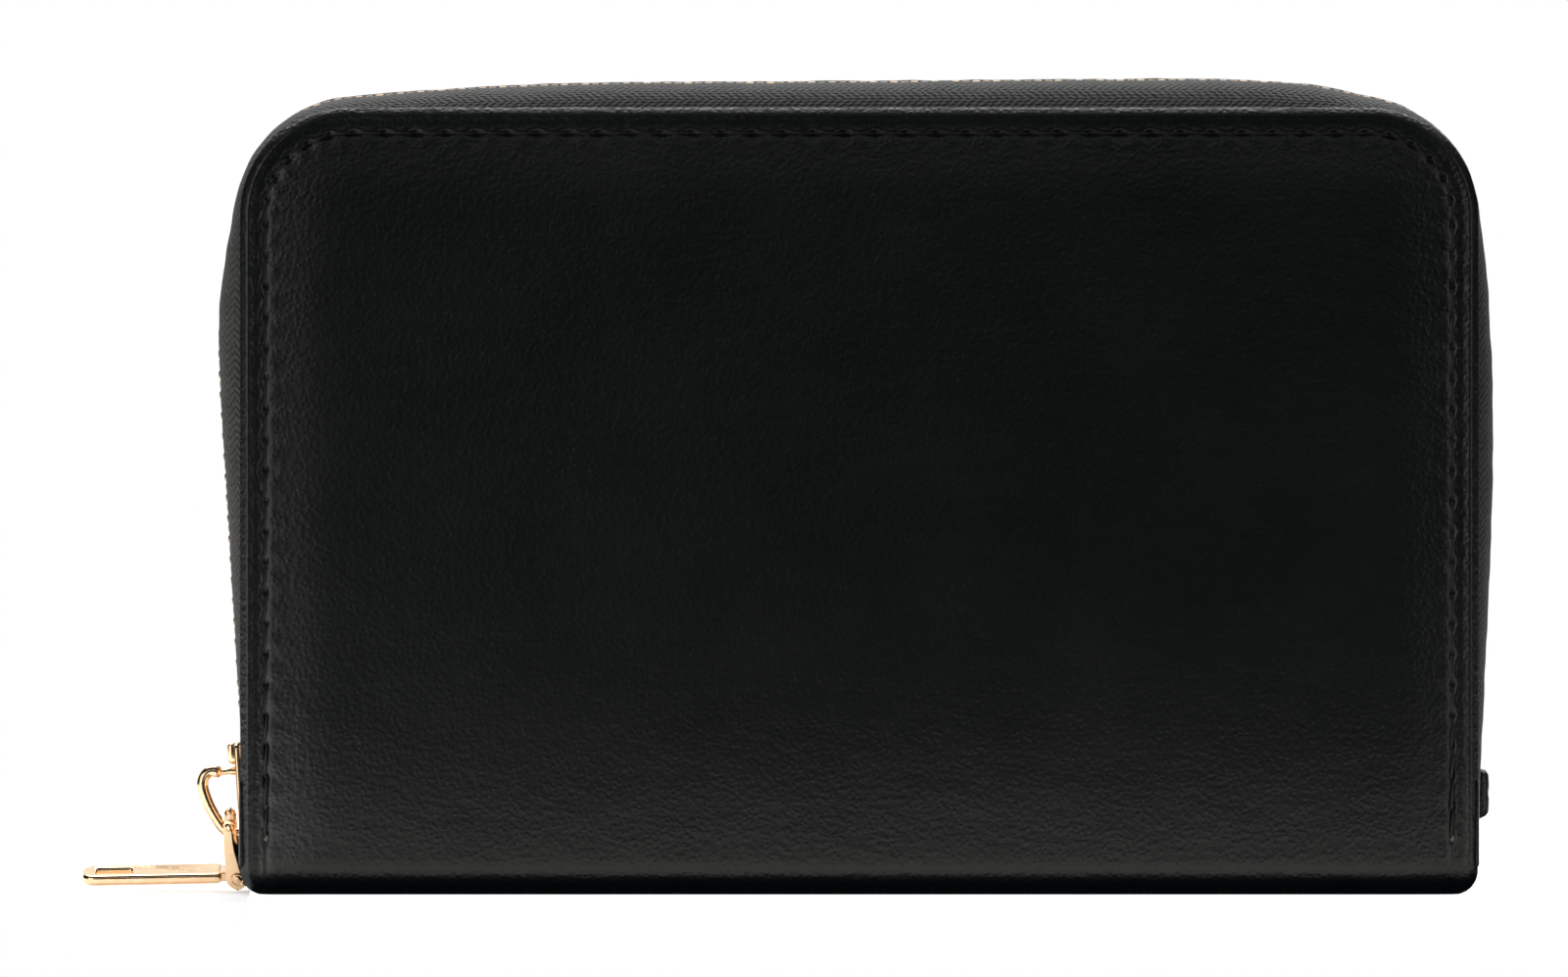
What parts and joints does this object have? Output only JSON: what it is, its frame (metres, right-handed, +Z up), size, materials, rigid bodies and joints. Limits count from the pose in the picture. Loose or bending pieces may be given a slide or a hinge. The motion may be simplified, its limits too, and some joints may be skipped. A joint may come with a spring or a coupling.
{
  "type": "zip around wallet",
  "caption": "Zip around wallet with padded leather covers, a metal zip round three sides, a hinged pull bar, card slots, slip pockets and a central zipped coin pocket.",
  "frame": {"origin": "centre of the spine's flat underside, which the upright wallet rests on", "axes": "+Z up from the spine to the top of the zip, +X along the width to the right of the front cover, -Y out of the front cover"},
  "size_m": [0.1713, 0.026, 0.0988],
  "materials": {
    "cover_leather": "black nappa leather, fine grain, soft satin sheen",
    "black_thread": "black polyester sewing thread",
    "zip_tape": "charcoal herringbone woven polyester tape",
    "zip_teeth_metal": "polished light gold plated zip metal",
    "gold_hardware": "polished light gold plated die casting",
    "stiffener_board": "bonded fibre board",
    "pocket_leather": "thin smooth black leather",
    "lining_fabric": "black woven twill lining"
  },
  "bodies": {
    "spine": {"spine_leather": "cover_leather", "spine_board": "stiffener_board", "front_fold": "cover_leather", "back_fold": "cover_leather", "zip_end_tab": "cover_leather", "zip_bottom_stop": "zip_teeth_metal", "front_gusset_left": "lining_fabric", "front_gusset_right": "lining_fabric", "back_gusset_left": "lining_fabric", "back_gusset_right": "lining_fabric", "coin_front_wall": "lining_fabric", "coin_back_wall": "lining_fabric", "coin_base": "lining_fabric", "coin_side_left": "lining_fabric", "coin_side_right": "lining_fabric", "coin_front_tape": "zip_tape", "coin_back_tape": "zip_tape", "coin_front_teeth": "zip_teeth_metal", "coin_back_teeth": "zip_teeth_metal", "coin_end_stops": "zip_teeth_metal"},
    "front_half": {"front_cover_leather": "cover_leather", "front_board": "stiffener_board", "front_lining": "lining_fabric", "front_stitching": "black_thread", "front_zip_tape": "zip_tape", "front_zip_teeth": "zip_teeth_metal", "front_top_stop": "zip_teeth_metal", "front_slip_pocket": "pocket_leather", "front_card_slot_1": "pocket_leather", "front_card_slot_2": "pocket_leather", "front_card_slot_3": "pocket_leather", "front_card_slot_4": "pocket_leather"},
    "back_half": {"back_cover_leather": "cover_leather", "back_board": "stiffener_board", "back_lining": "lining_fabric", "back_stitching": "black_thread", "back_zip_tape": "zip_tape", "back_zip_teeth": "zip_teeth_metal", "back_top_stop": "zip_teeth_metal", "back_slip_pocket": "pocket_leather", "back_card_slot_1": "pocket_leather", "back_card_slot_2": "pocket_leather", "back_card_slot_3": "pocket_leather", "back_card_slot_4": "pocket_leather"},
    "slider": {"slider_body": "gold_hardware", "slider_bridge": "gold_hardware"},
    "link": {"pull_link": "gold_hardware", "pull_pin": "gold_hardware"},
    "bar": {"pull_bar": "gold_hardware"},
    "coin_zip_slider": {"coin_slider": "gold_hardware"},
    "coin_zip_pull": {"coin_pull": "gold_hardware"}
  },
  "joints": [
    {"name": "front_open", "type": "hinge", "parent": "spine", "child": "front_half", "pos_m": [0, -0.0085, 0.0045], "axis": [1, 0, 0], "range_deg": [0, 32], "deforming": ["front_fold", "front_gusset_left", "front_gusset_right"]},
    {"name": "back_open", "type": "hinge", "parent": "spine", "child": "back_half", "pos_m": [0, 0.0085, 0.0045], "axis": [-1, 0, 0], "range_deg": [0, 32], "deforming": ["back_fold", "back_gusset_left", "back_gusset_right"]},
    {"name": "zip_slide", "type": "slide", "parent": "back_half", "child": "slider", "axis": [-0.0599, 0, 0.9982], "range_m": [0, 0.041]},
    {"name": "link_swing", "type": "hinge", "parent": "slider", "child": "link", "pos_m": [-0.07645, 0, 0.0088], "axis": [0, 0.9563, 0.2924], "range_deg": [0, 90]},
    {"name": "bar_swing", "type": "hinge", "parent": "link", "child": "bar", "pos_m": [-0.0755, 0.00202, 0.0022], "axis": [0, 0.9563, 0.2924], "range_deg": [-90, 15]},
    {"name": "coin_zip_slide", "type": "slide", "parent": "spine", "child": "coin_zip_slider", "axis": [1, 0, 0], "range_m": [0, 0.108]},
    {"name": "coin_pull_swing", "type": "hinge", "parent": "coin_zip_slider", "child": "coin_zip_pull", "pos_m": [-0.054, 0, 0.0731], "axis": [0, -1, 0], "range_deg": [0, 150]}
  ]
}
